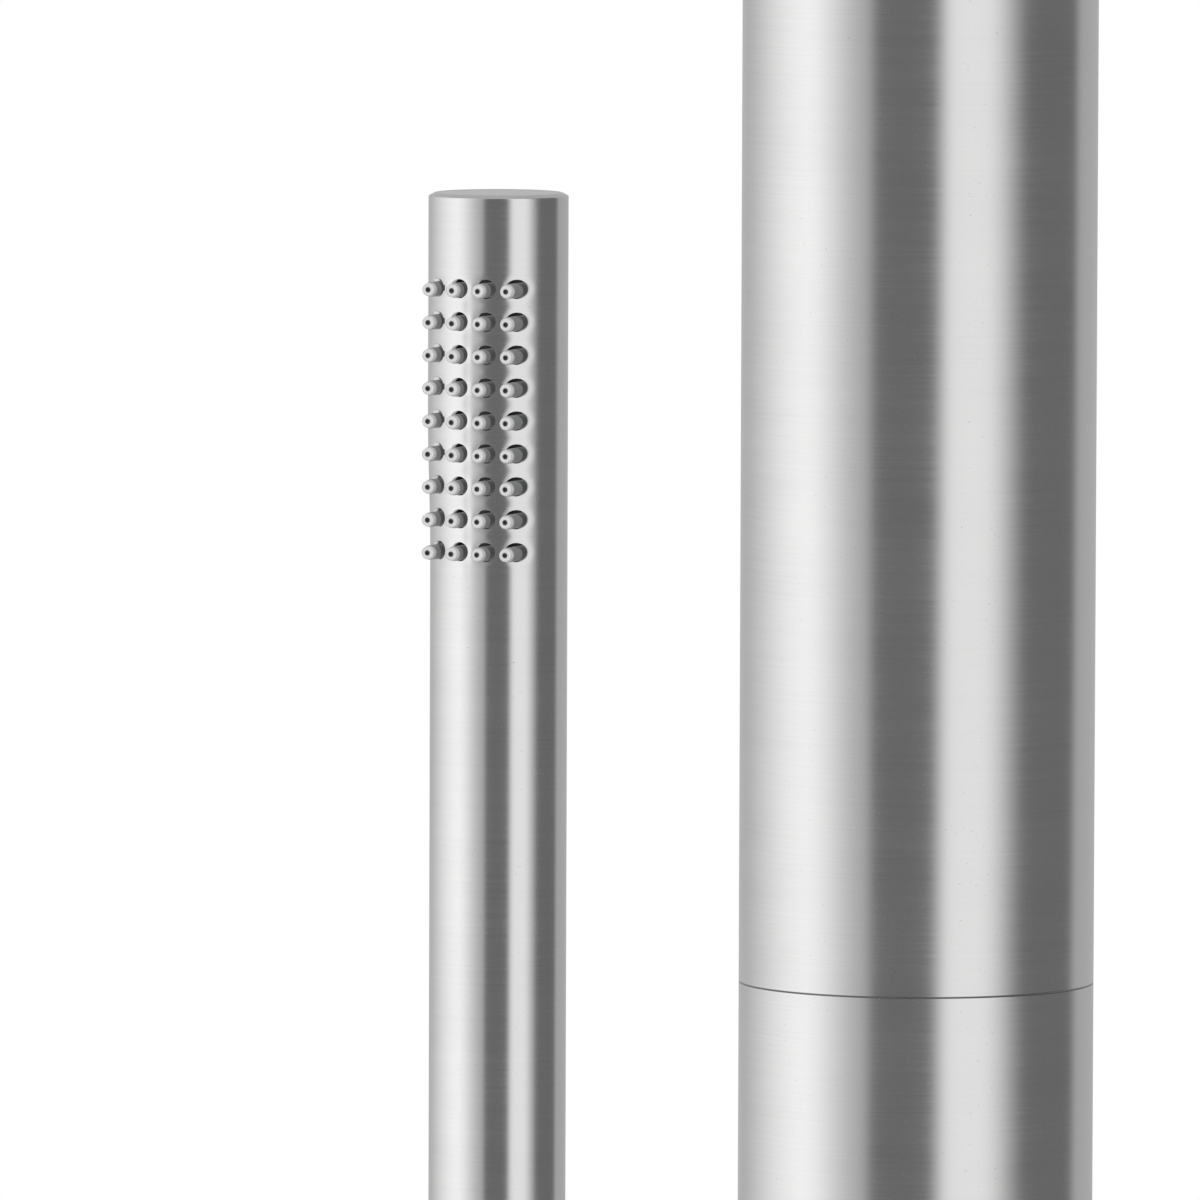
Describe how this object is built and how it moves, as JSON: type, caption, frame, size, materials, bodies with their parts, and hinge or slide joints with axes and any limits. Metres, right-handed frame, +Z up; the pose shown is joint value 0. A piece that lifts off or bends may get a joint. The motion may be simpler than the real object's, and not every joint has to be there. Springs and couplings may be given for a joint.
{
  "type": "outdoor shower",
  "caption": "Wall-mounted outdoor shower in brushed steel: a thick column with a mixer and a diverter, a baton hand shower in a side holder, and a round overhead shower on an arm.",
  "frame": {"origin": "middle of the lower wall plate's back face, on the wall, level with the mixer's axis", "axes": "+Z up, -Y out of the wall to the user, +X to the right seen from the front"},
  "size_m": [0.2, 0.524, 1.168],
  "materials": {
    "brushed_steel": "fine brushing round the tubes",
    "brass": "turned",
    "black_plastic": "matt moulded",
    "seal_rubber": "matt",
    "grey_silicone": "soft grey silicone",
    "ceramic": "ground"
  },
  "bodies": {
    "column": {"riser_tube": "brushed_steel", "lower_housing": "brushed_steel", "joint_sleeve": "brushed_steel", "top_cap": "brushed_steel", "bottom_cap": "brushed_steel", "lower_wall_plate": "brushed_steel", "lower_standoff": "brushed_steel", "lower_rosette": "brushed_steel", "upper_wall_plate": "brushed_steel", "upper_standoff": "brushed_steel", "upper_rosette": "brushed_steel", "upper_standoff_bolt": "brushed_steel", "standoff_fix_screws": "brushed_steel", "block_screws": "brushed_steel", "inlet_strainers": "brushed_steel", "riser_pipe": "brushed_steel", "hose_outlet": "brushed_steel", "mixer_collar": "brushed_steel", "diverter_collar": "brushed_steel", "shower_arm": "brushed_steel", "arm_collar": "brushed_steel", "holder_arm": "brushed_steel", "holder_cup": "brushed_steel", "holder_screw": "brushed_steel", "hot_check_spring": "brushed_steel", "cold_check_spring": "brushed_steel", "inlet_nipples": "brass", "valve_block": "brass", "arm_elbow": "brass", "mixer_nut": "brass", "diverter_nut": "brass", "arm_nut": "brass", "ball_stud": "brass", "check_valve_bodies": "black_plastic", "mixer_cartridge": "black_plastic", "diverter_cartridge": "black_plastic", "holder_liner": "black_plastic", "cap_seals": "seal_rubber", "mixer_seal": "seal_rubber", "mixer_fixed_disc": "ceramic"},
    "mixer_handle": {"mixer_turning_disc": "ceramic", "mixer_spindle": "brass", "mixer_knob": "brushed_steel", "mixer_lever": "brushed_steel", "mixer_grub_screw": "brushed_steel"},
    "diverter_handle": {"diverter_spindle": "ceramic", "diverter_knob": "brushed_steel", "diverter_lever": "brushed_steel"},
    "shower_head": {"ball_seat": "black_plastic", "swivel_nut": "brushed_steel", "head_shell": "brushed_steel", "head_plate": "brushed_steel", "head_nozzles": "grey_silicone"},
    "tail": {"hose_tail": "brass", "tail_seal": "seal_rubber"},
    "hand_shower": {"hand_tube": "brushed_steel", "hand_top_cap": "brushed_steel", "nozzle_strip": "grey_silicone"},
    "hot_poppet": {"hot_check_poppet": "black_plastic"},
    "cold_poppet": {"cold_check_poppet": "black_plastic"}
  },
  "joints": [
    {"name": "mixer_turn", "type": "hinge", "parent": "column", "child": "mixer_handle", "pos_m": [0, -0.12, 0], "axis": [0, -1, 0], "range_deg": [0, 95]},
    {"name": "diverter_turn", "type": "hinge", "parent": "column", "child": "diverter_handle", "pos_m": [0, -0.12, -0.078], "axis": [0, -1, 0], "range_deg": [0, 90]},
    {"name": "head_tilt", "type": "hinge", "parent": "column", "child": "shower_head", "pos_m": [0, -0.41, 0.879], "axis": [1, 0, 0], "range_deg": [-15, 15]},
    {"name": "hand_shower_lift", "type": "slide", "parent": "column", "child": "tail", "axis": [0, 0, 1], "range_m": [0, 0.06]},
    {"name": "hand_shower_turn", "type": "hinge", "parent": "tail", "child": "hand_shower", "pos_m": [-0.079, -0.08, 0.1], "axis": [0, 0, 1], "continuous": true},
    {"name": "hot_check_open", "type": "slide", "parent": "column", "child": "hot_poppet", "axis": [0, -1, 0], "range_m": [0, 0.0025], "stiffness_N_per_m": 50, "springref_m": -0.002, "deforming": ["hot_check_spring"]},
    {"name": "cold_check_open", "type": "slide", "parent": "column", "child": "cold_poppet", "axis": [0, -1, 0], "range_m": [0, 0.0025], "stiffness_N_per_m": 50, "springref_m": -0.002, "deforming": ["cold_check_spring"]}
  ]
}
